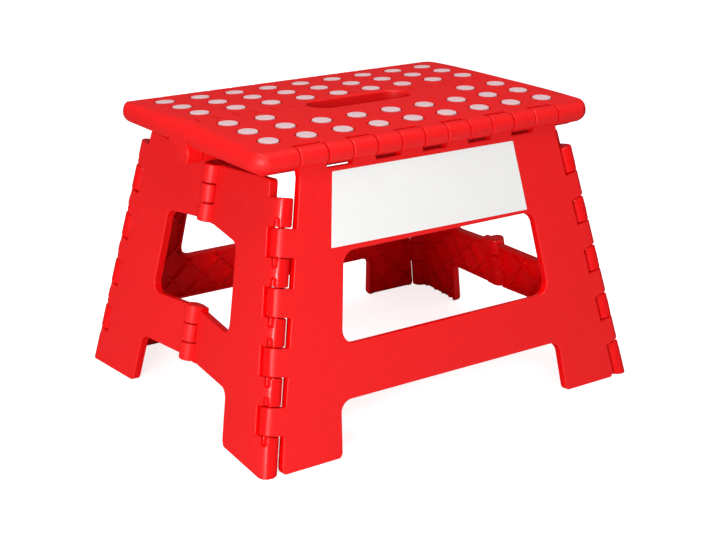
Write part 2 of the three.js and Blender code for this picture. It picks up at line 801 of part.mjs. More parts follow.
const [pinStart, pinEnd] = centrePinSpan();
const edgePinSpan = [-edgePinReach, topLength / 2 - planCornerRadius];
stool.add(topPin('pin_centre_left', [-pinEnd, -pinStart], 0, centreAxisZ));
stool.add(topPin('pin_centre_right', [pinStart, pinEnd], 0, centreAxisZ));
stool.add(topPin('pin_edge_front', edgePinSpan, -edgeAxisY, edgeAxisZ));
stool.add(topPin('pin_edge_back', edgePinSpan, edgeAxisY, edgeAxisZ));

stool.add(piece('grip_front_inner_left', grip(-1, 0, 0), greyRubber));
stool.add(piece('grip_front_inner_right', grip(-1, 0, 1), greyRubber));
stool.add(piece('grip_front_middle', grip(-1, 1), greyRubber));
stool.add(piece('grip_front_outer', grip(-1, 2), greyRubber));
stool.add(piece('grip_back_inner', grip(1, 0), greyRubber));
stool.add(piece('grip_back_middle', grip(1, 1), greyRubber));
stool.add(piece('grip_back_outer', grip(1, 2), greyRubber));

stool.add(piece('label', labelSheet(), whitePaper, sideFrame));

export default stool;
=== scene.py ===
# %% [markdown]
# # A folding step stool of moulded plastic
# The real object is a low stool moulded in red polypropylene. Two halves of a top are hinged along the
# middle, a side panel hangs from each long edge, and each short end is two half panels that fold inward.
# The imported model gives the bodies, the hinge axes and the overall box. This script gives the same pieces
# their fine shape and finish: round hinge barrels, soft moulded edges, ribs, and the pale rubber dots.

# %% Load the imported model
import json
import math

import bmesh
import bpy
from mathutils import Matrix, Vector
from mathutils.bvhtree import BVHTree

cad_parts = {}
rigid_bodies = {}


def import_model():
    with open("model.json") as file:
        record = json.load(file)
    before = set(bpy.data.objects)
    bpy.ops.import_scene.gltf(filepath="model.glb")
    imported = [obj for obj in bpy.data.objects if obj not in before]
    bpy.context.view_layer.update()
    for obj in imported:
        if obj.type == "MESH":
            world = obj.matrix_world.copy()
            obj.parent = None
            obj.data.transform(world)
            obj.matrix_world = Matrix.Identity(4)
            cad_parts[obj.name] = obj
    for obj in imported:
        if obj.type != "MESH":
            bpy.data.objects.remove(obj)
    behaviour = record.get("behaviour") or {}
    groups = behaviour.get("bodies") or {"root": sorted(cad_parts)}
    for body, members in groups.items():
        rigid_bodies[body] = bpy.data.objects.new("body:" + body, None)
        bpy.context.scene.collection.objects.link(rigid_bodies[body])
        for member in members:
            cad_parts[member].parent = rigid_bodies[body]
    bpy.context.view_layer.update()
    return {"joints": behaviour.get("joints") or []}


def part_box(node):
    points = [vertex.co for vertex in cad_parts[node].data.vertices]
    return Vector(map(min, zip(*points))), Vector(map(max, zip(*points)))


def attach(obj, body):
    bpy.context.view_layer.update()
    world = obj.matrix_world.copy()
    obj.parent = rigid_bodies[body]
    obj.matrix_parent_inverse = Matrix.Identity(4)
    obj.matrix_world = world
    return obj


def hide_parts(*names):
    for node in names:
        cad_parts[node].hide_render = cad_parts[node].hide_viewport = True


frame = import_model()
millimetre = 0.001
joints = {joint["name"]: joint for joint in frame["joints"]}

# %% [markdown]
# ## The camera
# The photograph was taken from the front left and a little above, with a long lens, so the lines hardly
# converge. The place and the angles below were found by fitting a pinhole camera to the stool's own
# corners. A camera looks along its own minus Z, so its turn is built from three plain angles.

# %% Camera
camera_place = Vector((-603.91, -901.09, 444.80)) * millimetre
camera_yaw, camera_pitch, camera_roll = 0.5926, 0.3249, -0.0062
sensor_width, focal_length = 36, 73.45


def new_object(name, data):
    """Makes an object and puts it in the scene."""
    made = bpy.data.objects.new(name, data)
    bpy.context.scene.collection.objects.link(made)
    return made


camera_data = bpy.data.cameras.new("camera")
camera_data.sensor_width = sensor_width
camera_data.lens = focal_length
camera = new_object("camera", camera_data)
camera.matrix_world = (
    Matrix.Translation(camera_place)
    @ Matrix.Rotation(-camera_yaw, 4, "Z")
    @ Matrix.Rotation(math.pi / 2 - camera_pitch, 4, "X")
    @ Matrix.Rotation(camera_roll, 4, "Z")
)
bpy.context.scene.camera = camera
print("camera at", tuple(round(value, 3) for value in camera_place))

# %% [markdown]
# ## The stage
# A catalogue picture has a white sheet that runs on without an edge, and big soft lamps. The sheet here is
# one wide plane. It reflects light as pale card does, and it glows a little for the camera only, which
# lifts it to white and still leaves the stool's own soft shadow where it stands. The plastic's own gloss
# mirrors a darker room, as in a studio with dark walls, so the red stays deep between the highlights.


# %% Colours and nodes
def linear(code):
    """Turns an sRGB hex value into the linear colour that the shaders work with."""
    parts = [int(code[start:start + 2], 16) / 255 for start in (0, 2, 4)]
    return tuple(p / 12.92 if p <= 0.04045 else ((p + 0.055) / 1.055) ** 2.4 for p in parts) + (1.0,)


def add(tree, kind, inputs=None, **settings):
    """Adds a node, sets its properties, and links or sets its inputs by name or number."""
    node = tree.nodes.new(kind)
    for name, value in settings.items():
        setattr(node, name, value)
    for name, value in (inputs or {}).items():
        if isinstance(value, bpy.types.NodeSocket):
            tree.links.new(value, node.inputs[name])
        else:
            node.inputs[name].default_value = value
    return node


def mix(tree, factor, first, second, data_type="RGBA"):
    """A blend of two colours, or of two numbers."""
    node = add(tree, "ShaderNodeMix", {"Factor": factor, "A": first, "B": second}, data_type=data_type)
    return node.outputs["Result"]


def noise(tree, place, size, detail, **inputs):
    """Clouds of a size in millimetres."""
    return add(tree, "ShaderNodeTexNoise", {
        "Vector": place, "Scale": 1 / (size * millimetre), "Detail": detail, **inputs}).outputs["Fac"]


def bump(tree, height, strength, depth, invert=False, **inputs):
    """The normal of a relief that has a depth in millimetres."""
    return add(tree, "ShaderNodeBump", {
        "Height": height, "Strength": strength, "Distance": depth * millimetre, **inputs},
        invert=invert).outputs[0]


def new_material(name):
    """Makes a material and returns it with its tree, emptied."""
    material = bpy.data.materials.new(name)
    material.use_nodes = True
    material.node_tree.nodes.clear()
    return material, material.node_tree


def show(tree, shader):
    """Sends a shader to the material's output."""
    add(tree, "ShaderNodeOutputMaterial", {"Surface": shader.outputs[0]})


# %% Floor
floor_reach = 9.0
floor_colour, floor_in_gloss = "e9e9ea", "404042"
floor_glow = 0.8

floor_bm = bmesh.new()
bmesh.ops.create_grid(floor_bm, x_segments=1, y_segments=1, size=floor_reach)
floor_mesh = bpy.data.meshes.new("floor")
floor_bm.to_mesh(floor_mesh)
floor_bm.free()
floor = new_object("floor", floor_mesh)

card, tree = new_material("pale_card")
rays = add(tree, "ShaderNodeLightPath")
tone = mix(tree, rays.outputs["Is Glossy Ray"], linear(floor_colour), linear(floor_in_gloss))
matt = add(tree, "ShaderNodeBsdfDiffuse", {"Color": tone})
glow = add(tree, "ShaderNodeEmission", {"Color": (1, 1, 1, 1), "Strength": floor_glow})
lit = add(tree, "ShaderNodeAddShader", {0: matt.outputs[0], 1: glow.outputs[0]})
sheet = add(tree, "ShaderNodeMixShader", {
    0: rays.outputs["Is Camera Ray"], 1: matt.outputs[0], 2: lit.outputs[0]})
show(tree, sheet)
floor.data.materials.append(card)
print(f"floor: {2 * floor_reach:.0f} m wide")

# %% World and lamps
sky_strength, sky_in_gloss = 0.38, 0.08
lamps = {
    # name: place, what it points at, width, power
    "key": ((-1.00, -0.80, 0.32), (-0.05, 0, 0.12), 0.4, 8),
    "top": ((-0.25, -0.35, 1.90), (0, 0, 0.20), 0.9, 18),
}

world = bpy.data.worlds.new("soft_room")
world.use_nodes = True
bpy.context.scene.world = world
tree = world.node_tree
tree.nodes.clear()
rays = add(tree, "ShaderNodeLightPath")
level = mix(tree, rays.outputs["Is Glossy Ray"], sky_strength, sky_in_gloss, "FLOAT")
room = add(tree, "ShaderNodeBackground", {"Color": (1, 1, 1, 1), "Strength": level})
white = add(tree, "ShaderNodeBackground", {"Color": (1, 1, 1, 1), "Strength": 1.0})
mixed = add(tree, "ShaderNodeMixShader", {
    0: rays.outputs["Is Camera Ray"], 1: room.outputs[0], 2: white.outputs[0]})
add(tree, "ShaderNodeOutputWorld", {"Surface": mixed.outputs[0]})

for name, (place, target, width, power) in lamps.items():
    lamp_data = bpy.data.lights.new(name, "AREA")
    lamp_data.shape = "DISK"
    lamp_data.size = width
    lamp_data.energy = power
    lamp = new_object(name, lamp_data)
    aim = Vector(target) - Vector(place)
    lamp.matrix_world = Matrix.Translation(place) @ aim.to_track_quat("-Z", "Y").to_matrix().to_4x4()

bpy.context.scene.view_settings.view_transform = "Standard"
print("lamps:", ", ".join(lamps))

# %% [markdown]
# ## Red polypropylene
# Such stools are injection moulded in polypropylene. The faces that show are textured in the mould, which
# gives a satin skin with a grain of under a millimetre, and the inner faces are polished steel's copy, so
# they shine. Behind the skin run thin ribs. The plastic shrinks as it cools and sinks a little over each
# rib, which is the faint diamond pattern that the light picks out. The colour is also darkened a little
# along those lines, as painted shade for the shadow that lies in the shallow sinks. A face attribute named
# "polish" tells the shader which faces are inner ones, and another named "flat" which ones are the panel
# itself and not a barrel. The piece's UV map carries the panel's own millimetres, so the sink marks lie over
# the ribs.

# %% Moulded polypropylene
# The last of these reds is painted shade: the sink lines are darkened toward it for the shadow in their
# shallow hollows.
red_low, red_high, red_painted_sink_shade = "f40408", "fa080c", "a00408"
cloud_size, flow_size, grain_size = 55, 18, 0.9
flow_height, grain_height, sink_depth = 0.25, 0.06, 0.05
flow_strength, grain_strength, sink_strength = 0.35, 0.25, 0.7
satin_low, satin_high, polished = 0.42, 0.54, 0.24
plastic_ior = 1.49
scatter_depth = 3
rib_pitch = 28.0
rib_step = rib_pitch * math.sqrt(0.5)
# sink_shade is how far the sink lines are darkened toward that painted shade colour.
sink_shade, sink_start = 0.03, 0.9
wave_turns = 20  # Blender's wave texture has this many radians for each unit of its scale


def sink_lines(tree, places, turn):
    """Thin lines one rib step apart, turned by an angle, as heights from nought to one."""
    turned = add(tree, "ShaderNodeMapping", {"Vector": places, "Rotation": (0, 0, turn)})
    waves = add(tree, "ShaderNodeTexWave", {
        "Vector": turned.outputs[0],
        "Scale": math.tau / (wave_turns * rib_step * millimetre),
        "Phase Offset": math.pi / 2,
    })
    return add(tree, "ShaderNodeMapRange", {
        "Value": waves.outputs["Fac"], "From Min": sink_start, "From Max": 1.0},
        interpolation_type="SMOOTHSTEP").outputs[0]


def moulded_plastic(name, has_ribs):
    """Red polypropylene: satin where the mould was etched, glossy inside, and a little translucent."""
    material, tree = new_material(name)
    coords = add(tree, "ShaderNodeTexCoord")
    place = coords.outputs["Object"]
    colour = mix(tree, noise(tree, place, cloud_size, detail=3), linear(red_low), linear(red_high))
    grain = noise(tree, place, grain_size, detail=2, Roughness=0.6)
    sheen = add(tree, "ShaderNodeMapRange", {
        "Value": grain, "From Min": 0.3, "From Max": 0.7, "To Min": satin_low, "To Max": satin_high})
    polish = add(tree, "ShaderNodeAttribute", attribute_name="polish")
    rough = mix(tree, polish.outputs["Fac"], sheen.outputs[0], polished, "FLOAT")
    normal = bump(tree, noise(tree, place, flow_size, detail=1), flow_strength, flow_height)
    if has_ribs:
        lines = [sink_lines(tree, coords.outputs["UV"], turn) for turn in (math.pi / 4, -math.pi / 4)]
        both = add(tree, "ShaderNodeMath", {0: lines[0], 1: lines[1]}, operation="MAXIMUM")
        flat = add(tree, "ShaderNodeAttribute", attribute_name="flat")
        sunk = add(tree, "ShaderNodeMath", {0: both.outputs[0], 1: flat.outputs["Fac"]},
                   operation="MULTIPLY")
        normal = bump(tree, sunk.outputs[0], sink_strength, sink_depth, invert=True, Normal=normal)
        # Painted shade: the base colour is darkened a little along the sink lines, for the shadow in those
        # shallow hollows.
        depth = add(tree, "ShaderNodeMath", {0: sunk.outputs[0], 1: sink_shade}, operation="MULTIPLY")
        colour = mix(tree, depth.outputs[0], colour, linear(red_painted_sink_shade))
    show(tree, add(tree, "ShaderNodeBsdfPrincipled", {
        "Base Color": colour,
        "Roughness": rough,
        "Normal": bump(tree, grain, grain_strength, grain_height, Normal=normal),
        "IOR": plastic_ior,
        "Subsurface Weight": 0.2,
        "Subsurface Radius": (1.0, 0.12, 0.08),
        "Subsurface Scale": scatter_depth * millimetre,
    }))
    return material


ribbed_polypropylene = moulded_plastic("moulded_polypropylene_ribbed", True)
plain_polypropylene = moulded_plastic("moulded_polypropylene", False)

# %% [markdown]
# ## Rubber, film and wire
# The dots are soft thermoplastic rubber, matt, and their colour is painted a little pink: a painted
# reflection of the red that shines into them. The label is a plain white polypropylene film with a soft
# gloss. The hinge pins are drawn steel wire, with fine lines along their length.


# %% Thermoplastic rubber
def soft_rubber():
    """Matt rubber with a gritty skin."""
    material, tree = new_material("thermoplastic_rubber")
    place = add(tree, "ShaderNodeTexCoord").outputs["Object"]
    show(tree, add(tree, "ShaderNodeBsdfPrincipled", {
        # The pink in these two colours is painted reflection of the red plastic around the dots.
        "Base Color": mix(tree, noise(tree, place, size=9, detail=3), linear("dfbdc2"), linear("ecccd0")),
        "Roughness": 0.68,
        "Normal": bump(tree, noise(tree, place, size=0.7, detail=2), strength=0.4, depth=0.12),
        "IOR": 1.5,
        "Sheen Weight": 0.15,
    }))
    return material


rubber = soft_rubber()


# %% Label film
def label_film():
    """White film with a soft gloss, which ripples a little as a stuck label does."""
    material, tree = new_material("white_label_film")
    fibre = noise(tree, add(tree, "ShaderNodeTexCoord").outputs["Object"], size=30, detail=4)
    show(tree, add(tree, "ShaderNodeBsdfPrincipled", {
        "Base Color": mix(tree, fibre, linear("f2f2f0"), linear("f8f8f6")),
        "Roughness": 0.38,
        "Normal": bump(tree, fibre, strength=0.3, depth=0.2),
        "IOR": plastic_ior,
    }))
    return material


film = label_film()


# %% Drawn wire
def drawn_wire():
    """Bare steel with fine lines along the wire."""
    material, tree = new_material("drawn_steel_wire")
    place = add(tree, "ShaderNodeTexCoord").outputs["Object"]
    drawn = add(tree, "ShaderNodeMapping", {"Vector": place, "Scale": (0.05, 1, 1)})
    lines = noise(tree, drawn.outputs[0], size=0.4, detail=2)
    rough = add(tree, "ShaderNodeMapRange", {"Value": lines, "To Min": 0.25, "To Max": 0.45})
    show(tree, add(tree, "ShaderNodeBsdfPrincipled", {
        "Base Color": linear("b4b7ba"), "Metallic": 1.0, "Roughness": rough.outputs[0]}))
    return material


wire = drawn_wire()
made = (ribbed_polypropylene, plain_polypropylene, rubber, film, wire)
print("materials:", ", ".join(material.name for material in made))

# %% [markdown]
# ## Shapes in millimetres
# Every piece is built lying flat in its own frame, in millimetres, because a panel is easy to describe
# there: across, up and out of its face. At the end its mesh is moved to its place and scaled to metres.
# An outline is a plain polygon whose corners are rounded by a vertex bevel. A bevel is told how far from
# the corner it starts, which is the radius over the tangent of half the corner's angle.

# %% Outlines and plates
corner_segments, fewest_segments = 8, 3
flat_angle, rim_angle, rod_end_angle = 0.5, 50, 60
same_height = 0.001


def bevel(bm, geom, offset, segments=2, affect="EDGES", **more):
    """Rounds edges or corners with a circular profile."""
    bmesh.ops.bevel(bm, geom=geom, offset=offset, offset_type="OFFSET", affect=affect, segments=segments,
                    profile=0.5, material=-1, **more)


def triangulate(bm):
    bmesh.ops.triangulate(bm, faces=bm.faces[:], quad_method="BEAUTY", ngon_method="BEAUTY")


def add_outline(bm, corners, height):
    """Adds a closed outline as a face, with rounded corners given as (x, y, radius)."""
    verts = [bm.verts.new((x, y, height)) for x, y, radius in corners]
    bm.faces.new(verts)
    for vert, (x, y, radius) in zip(verts, corners):
        if radius == 0:
            continue
        arms = [(edge.other_vert(vert).co - vert.co).normalized() for edge in vert.link_edges]
        start = radius / math.tan(arms[0].angle(arms[1]) / 2)
        bevel(bm, [vert], start, corner_segments, "VERTICES", clamp_overlap=False)


def fill(bm):
    """Fills nested outlines, so that an outline inside another is a window."""
    bmesh.ops.delete(bm, geom=bm.faces[:], context="FACES_ONLY")
    bmesh.ops.triangle_fill(bm, use_beauty=True, use_dissolve=False, edges=bm.edges[:])
    bmesh.ops.recalc_face_normals(bm, faces=bm.faces[:])


def thicken(bm, depth):
    """Extrudes flat faces along Z into a solid, and merges each flat side into as few faces as it can."""
    made = bmesh.ops.extrude_face_region(bm, geom=bm.faces[:])
    lifted = [item for item in made["geom"] if isinstance(item, bmesh.types.BMVert)]
    bmesh.ops.translate(bm, verts=lifted, vec=(0, 0, depth))
    bmesh.ops.dissolve_limit(bm, angle_limit=math.radians(flat_angle), verts=bm.verts[:], edges=bm.edges[:])
    bmesh.ops.recalc_face_normals(bm, faces=bm.faces[:])


def soften_rim(bm, height, radius):
    """Rounds the sharp edges that lie at one height, with more steps where the radius is large."""
    rim = [
        edge for edge in bm.edges
        if all(abs(vert.co.z - height) < same_height for vert in edge.verts)
        and edge.is_manifold and edge.calc_face_angle() > math.radians(rim_angle)
    ]
    bevel(bm, rim, radius, max(fewest_segments, round(radius)), clamp_overlap=False, loop_slide=False)


def to_mesh(bm):
    mesh = bpy.data.meshes.new("work")
    bm.to_mesh(mesh)
    bm.free()
    return mesh


def plate(outline, windows, back, front, softening=()):
    """A flat plate with windows. Softening is a list of (height, radius) for its rims."""
    bm = bmesh.new()
    for corners in (outline, *windows):
        add_outline(bm, corners, back)
    fill(bm)
    thicken(bm, front - back)
    for height, radius in softening:
        soften_rim(bm, height, radius)
    return to_mesh(bm)


# %% Rods and blocks
barrel_segments, pin_segments, bore_segments, hole_segments = 40, 24, 20, 16


def rod(radius, span, turn=Matrix(), softness=0.0, segments=barrel_segments):
    """A cylinder along its frame's Y axis, with softened ends."""
    bm = bmesh.new()
    length = span[1] - span[0]
    bmesh.ops.create_cone(bm, cap_ends=True, cap_tris=False, segments=segments, radius1=radius,
                          radius2=radius, depth=length)
    if softness:
        ends = [edge for edge in bm.edges if edge.calc_face_angle() > math.radians(rod_end_angle)]
        bevel(bm, ends, softness)
    along = Matrix.Translation((0, (span[0] + span[1]) / 2, 0)) @ Matrix.Rotation(-math.pi / 2, 4, "X")
    bmesh.ops.transform(bm, matrix=turn @ along, verts=bm.verts[:])
    return to_mesh(bm)


def block(xs, ys, zs, turn=Matrix()):
    """A box between two corners, moved by a frame."""
    bm = bmesh.new()
    bmesh.ops.create_cube(bm, size=1)
    size = [abs(pair[1] - pair[0]) for pair in (xs, ys, zs)]
    middle = [(pair[1] + pair[0]) / 2 for pair in (xs, ys, zs)]
    bmesh.ops.scale(bm, vec=size, verts=bm.verts[:])
    bmesh.ops.transform(bm, matrix=turn @ Matrix.Translation(middle), verts=bm.verts[:])
    return to_mesh(bm)


def prism(corners, span, turn=Matrix()):
    """A polygon drawn flat and thickened along Z."""
    bm = bmesh.new()
    add_outline(bm, [(x, y, 0) for x, y in corners], span[0])
    thicken(bm, span[1] - span[0])
    bmesh.ops.transform(bm, matrix=turn, verts=bm.verts[:])
    return to_mesh(bm)


# %% [markdown]
# ## Joining and cutting
# A moulded piece is one body, so its plate, barrels and roots have to become one skin. Blender's Boolean
# modifier does it. Its Manifold solver is quick and exact on closed meshes, and it takes a whole collection
# of tools in one go, so a panel with forty ribs is still a single cut.


# %% Booleans
def combine(base, tools, operation):
    """Joins or cuts closed meshes with a Boolean modifier and returns the new mesh."""
    holder = new_object("work", base)
    kit = bpy.data.collections.new("kit")
    for mesh in tools:
        kit.objects.link(bpy.data.objects.new("tool", mesh))
    modifier = holder.modifiers.new("combine", "BOOLEAN")
    modifier.operation = operation
    modifier.operand_type = "COLLECTION"
    modifier.collection = kit
    modifier.solver = "MANIFOLD"
    graph = bpy.context.evaluated_depsgraph_get()
    made = bpy.data.meshes.new_from_object(holder.evaluated_get(graph), depsgraph=graph)
    for tool in list(kit.objects):
        bpy.data.objects.remove(tool)
    bpy.data.collections.remove(kit)
    bpy.data.objects.remove(holder)
    return made


def joined(base, *tools):
    return combine(base, tools, "UNION")


def without(base, *tools):
    return combine(base, tools, "DIFFERENCE")


def common(base, tool):
    return combine(base, [tool], "INTERSECT")


def moved(mesh, turn):
    mesh.transform(turn)
    return mesh


# %% [markdown]
# ## Driving sizes
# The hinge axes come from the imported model's joints, so the drawn barrels turn about the same lines as the
# simulated ones. The other sizes are the moulding's own, in millimetres.


# %% Sizes from the frame
def in_millimetres(values):
    return Vector(values) / millimetre


def basis(x_axis, y_axis, z_axis, place):
    """A frame with the given axes at a place."""
    return Matrix.Translation(place) @ Matrix((x_axis, y_axis, z_axis)).transposed().to_4x4()


edge_axis = in_millimetres(joints["edge_front"]["pos_m"])
centre_axis = in_millimetres(joints["centre_fold"]["pos_m"])
corner_foot = in_millimetres(joints["corner_left_front"]["pos_m"])
corner_up = -Vector(joints["corner_left_front"]["axis"]).normalized()
top_low, top_high = (in_millimetres(corner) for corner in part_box("top_front"))
side_lean = math.atan(corner_up.y / corner_up.z)
end_lean = math.atan(corner_up.x / corner_up.z)

stand_height = top_high.z
top_length = top_high.x - top_low.x
top_depth = -2 * top_low.y
plate_thickness, skin, wall, rib_thickness, rib_drop = 6.5, 2.4, 2.4, 1.6, 0.7
side_face, fold_gap, slit, barrel_gap = 2.5, 0.3, 0.7, 1.2
corner_depth = (edge_axis.z - centre_axis.z + side_face - fold_gap) / 2
plate_inner, plate_edge = corner_depth - plate_thickness, corner_depth + barrel_gap
fit_gap, socket_gap = 0.3, 0.4
lap, overrun, beyond = 3, 5, 600  # how far roots reach into a plate, and how far cuts run past it
round_margin = 0.05  # a round end's radius stays this much under half its width
skin_margin = 0.1  # so that the skin's own back counts as an inner face
edge_softness, rim_softness, top_softness, label_softness = 0.35, 0.9, 0.8, 0.1
corner_barrel_softness, edge_barrel_softness, centre_barrel_softness = 1.0, 1.1, 0.8
dot_softness, pin_softness = 0.6, 0.4
sharp_angle, shading_angle, flat_cosine = 45, 35, 0.9999
tiny, weld_size, stray = 0.002, 0.01, 0.6  # stray is a share of the softness
half_turn = Matrix.Rotation(math.pi, 4, "Z")
y_to_x = Matrix.Rotation(-math.pi / 2, 4, "Z")
print(f"lean {math.degrees(side_lean):.1f} and {math.degrees(end_lean):.1f} degrees")

# %% [markdown]
# ## Ribs behind a panel
# A panel is a skin of 2.4 mm with a wall round its rim and ribs in diamonds behind it. The hollow is made
# first: the panel's own outline drawn in by the wall, less the ribs. Cutting it from the plate leaves the
# ribs standing, which is how the mould makes them too. Their tops stay just under the rim.


# %% Hollow and finish
def ribs(back, front, reach=300):
    bars = []
    count = math.ceil(reach / rib_step)
    for turn in (math.pi / 4, -math.pi / 4):
        across = Matrix.Rotation(turn, 4, "Z")
        for number in range(-count, count + 1):
            middle = number * rib_step
            xs = (middle - rib_thickness / 2, middle + rib_thickness / 2)
            bars.append(block(xs, (-reach, reach), (back, front), across))
    return bars


def ribbed_hollow(outline, windows, hand, inner, outer):
    """What is cut out from behind a panel. Hand is the side along Z that its outer face looks to."""
    skin_face = outer - hand * skin
    behind = inner - hand * overrun
    bm = bmesh.new()
    for corners in (outline, *windows):
        add_outline(bm, corners, min(behind, skin_face))
    fill(bm)
    ring = bmesh.ops.inset_region(bm, faces=bm.faces[:], thickness=wall, use_even_offset=True,
                                  use_boundary=True)
    bmesh.ops.delete(bm, geom=ring["faces"], context="FACES")
    thicken(bm, abs(skin_face - behind))
    rib_top = inner + hand * rib_drop
    return without(to_mesh(bm), *ribs(rib_top, skin_face + hand * overrun))


def mend(bm, size):
    """Merges what lies closer than a size, drops faces without area, and leaves triangles."""
    bmesh.ops.remove_doubles(bm, verts=bm.verts[:], dist=size)
    bmesh.ops.dissolve_degenerate(bm, dist=size, edges=bm.edges[:])
    triangulate(bm)


def soften(bm, softness):
    """Rounds all sharp edges. Where a sliver throws a corner out, it is put back on the old surface."""
    mend(bm, weld_size)
    surface = BVHTree.FromBMesh(bm)
    sharp = [edge for edge in bm.edges
             if edge.is_manifold and edge.calc_face_angle() > math.radians(sharp_angle)]
    bevel(bm, sharp, softness, clamp_overlap=False, loop_slide=False)
    for vert in bm.verts:
        place, _, _, distance = surface.find_nearest(vert.co)
        if distance > stray * softness:
            vert.co = place
    bmesh.ops.dissolve_degenerate(bm, dist=tiny, edges=bm.edges[:])
    open_edges = [edge for edge in bm.edges if not (edge.is_manifold and edge.is_contiguous)]
    bmesh.ops.collapse(bm, edges=open_edges, uvs=False)
    triangulate(bm)


def finish(name, mesh, turn, body, nodes, material, is_inner=None, softness=edge_softness):
    """Gives a mesh its soft edges, UV map and attributes, puts it in place on its body, and hides the
    imported nodes that it stands for.
    """
    bm = bmesh.new()
    bm.from_mesh(mesh)
    triangulate(bm)
    if softness:
        soften(bm, softness)
    bm.to_mesh(mesh)
    bm.free()
    mesh.materials.clear()
    mesh.materials.append(material)
    uv_map = mesh.uv_layers.new(name="panel_millimetres")
    for loop in mesh.loops:
        point = mesh.vertices[loop.vertex_index].co
        uv_map.data[loop.index].uv = (point.x * millimetre, point.y * millimetre)
    polish = mesh.attributes.new("polish", "FLOAT", "FACE")
    flat = mesh.attributes.new("flat", "FLOAT", "FACE")
    for face in mesh.polygons:
        polish.data[face.index].value = 1.0 if is_inner and is_inner(face) else 0.0
        flat.data[face.index].value = 1.0 if abs(face.normal.z) > flat_cosine else 0.0
    mesh.transform(Matrix.Scale(millimetre, 4) @ turn)
    mesh.shade_smooth()
    mesh.set_sharp_from_angle(angle=math.radians(shading_angle))
    mesh.name = name
    piece = new_object(name, mesh)
    weighted = piece.modifiers.new("flat_shading", "WEIGHTED_NORMAL")
    weighted.keep_sharp = True
    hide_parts(*nodes)
    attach(piece, body)
    print(f"{name}: {len(mesh.polygons)} faces")


# %% [markdown]
# ## Side panels
# Each long side is one panel, like a low table's apron with two legs. It hangs from the top's edge by six
# barrels, and has four barrels down each slanted side, between those of the end halves. A window saves
# plastic and gives a grip. Its feet are rounded where they meet the floor.

# %% Side panel sizes
side_top_height = 197.4
window_top, window_bottom = (139.8, 84), (76.8, 93.2)  # height and half width
window_radius = 10
rail_height, inside_at_rail, inside_at_floor, leg_fillet = 39, 98.7, 102.6, 9
foot_radius, foot_swell = 6, 0.34
panel_corner_radius = 3
edge_barrel_radius = 7.5
edge_knuckles = ((10, 30), (50, 70), (90, 112.5))  # on one side of the middle, and mirrored
pin_radius = 1.5
corner_pitch = 20
corner_count = 9
corner_top_height = 180.9
corner_length = corner_top_height / corner_up.z
stub_radius = 2.2
stub_length = 5
corner_outward = side_face - corner_depth
corner_slant = math.atan(math.tan(end_lean) * math.cos(side_lean))
side_turn = Matrix.Rotation(math.pi / 2 - side_lean, 4, "X")
side_frame = Matrix.Translation((0, edge_axis.y, edge_axis.z)) @ side_turn


# %% Side panel outline
def side_y(height, outward=side_face):
    """How far up the panel a height above the floor is, at a distance out from the hinge's plane."""
    return (height - edge_axis.z - outward * math.sin(side_lean)) / math.cos(side_lean)


def both_sides(right):
    """An outline from its right half."""
    return right + [(-x, y, radius) for x, y, radius in reversed(right)]


def both_ways(spans, growth):
    """Each stretch and its mirror image, made longer by a growth at either end."""
    return [(near - growth, far + growth)
            for start, end in spans for near, far in ((start, end), (-end, -start))]


def side_edge_x(y):
    """How far from the middle the slanted edge is."""
    height = edge_axis.z + y * math.cos(side_lean) + corner_outward * math.sin(side_lean)
    return -corner_foot.x - math.tan(end_lean) * height - plate_edge / math.cos(corner_slant)


def side_outline():
    top, rail = side_y(side_top_height), side_y(rail_height)
    foot = side_y(0) - foot_radius * math.sin(side_lean)
    return both_sides([
        (inside_at_rail, rail, leg_fillet),
        (inside_at_floor, foot, foot_radius),
        (side_edge_x(foot), foot, foot_radius),
        (side_edge_x(top), top, panel_corner_radius),
    ])


def side_window():
    return both_sides([
        (window_bottom[1], side_y(window_bottom[0]), window_radius),
        (window_top[1], side_y(window_top[0]), window_radius),
    ])


# %% Corner barrels
def corner_spans(is_end):
    """The barrels take turns from the top down, and the last one runs to the floor."""
    spans = []
    for index in range(0 if is_end else 1, corner_count, 2):
        top = corner_length - index * corner_pitch
        is_last = index == corner_count - 1
        spans.append((
            -overrun if is_last else top - corner_pitch + slit / 2,
            top if index == 0 else top - slit / 2,
        ))
    return spans


def barrels(spans, hand, inner, outer):
    """Hinge barrels with a root each, which runs from the barrel's middle into the edge of the plate."""
    tools = []
    for span in spans:
        tools.append(rod(corner_depth, span, softness=corner_barrel_softness))
        tools.append(block((0, plate_edge + lap), span, (hand * inner, hand * outer)))
    return tools


def corner_barrels(hand, is_end):
    return barrels(corner_spans(is_end), hand, plate_inner, corner_depth)


def corner_stubs():
    """The trunnions at both ends of a side panel's barrels."""
    spans = corner_spans(False)
    return [rod(stub_radius, (bottom - stub_length, top + stub_length)) for bottom, top in spans]


def below_floor(turn):
    """All below the feet. Their soft edges swell by a third of a millimetre, so the cut is that much up."""
    return block((-beyond, beyond), (-beyond, beyond), (-beyond, foot_swell), turn.inverted())


# %% Side panel
def side_corner_frame(hand):
    slant = hand * corner_slant
    up = Vector((math.sin(slant), math.cos(slant), 0))
    into = Vector((hand * math.cos(slant), -hand * math.sin(slant), 0))
    place = (hand * corner_foot.x, side_y(0, corner_outward), corner_outward)
    return basis(into, up, into.cross(up), place)


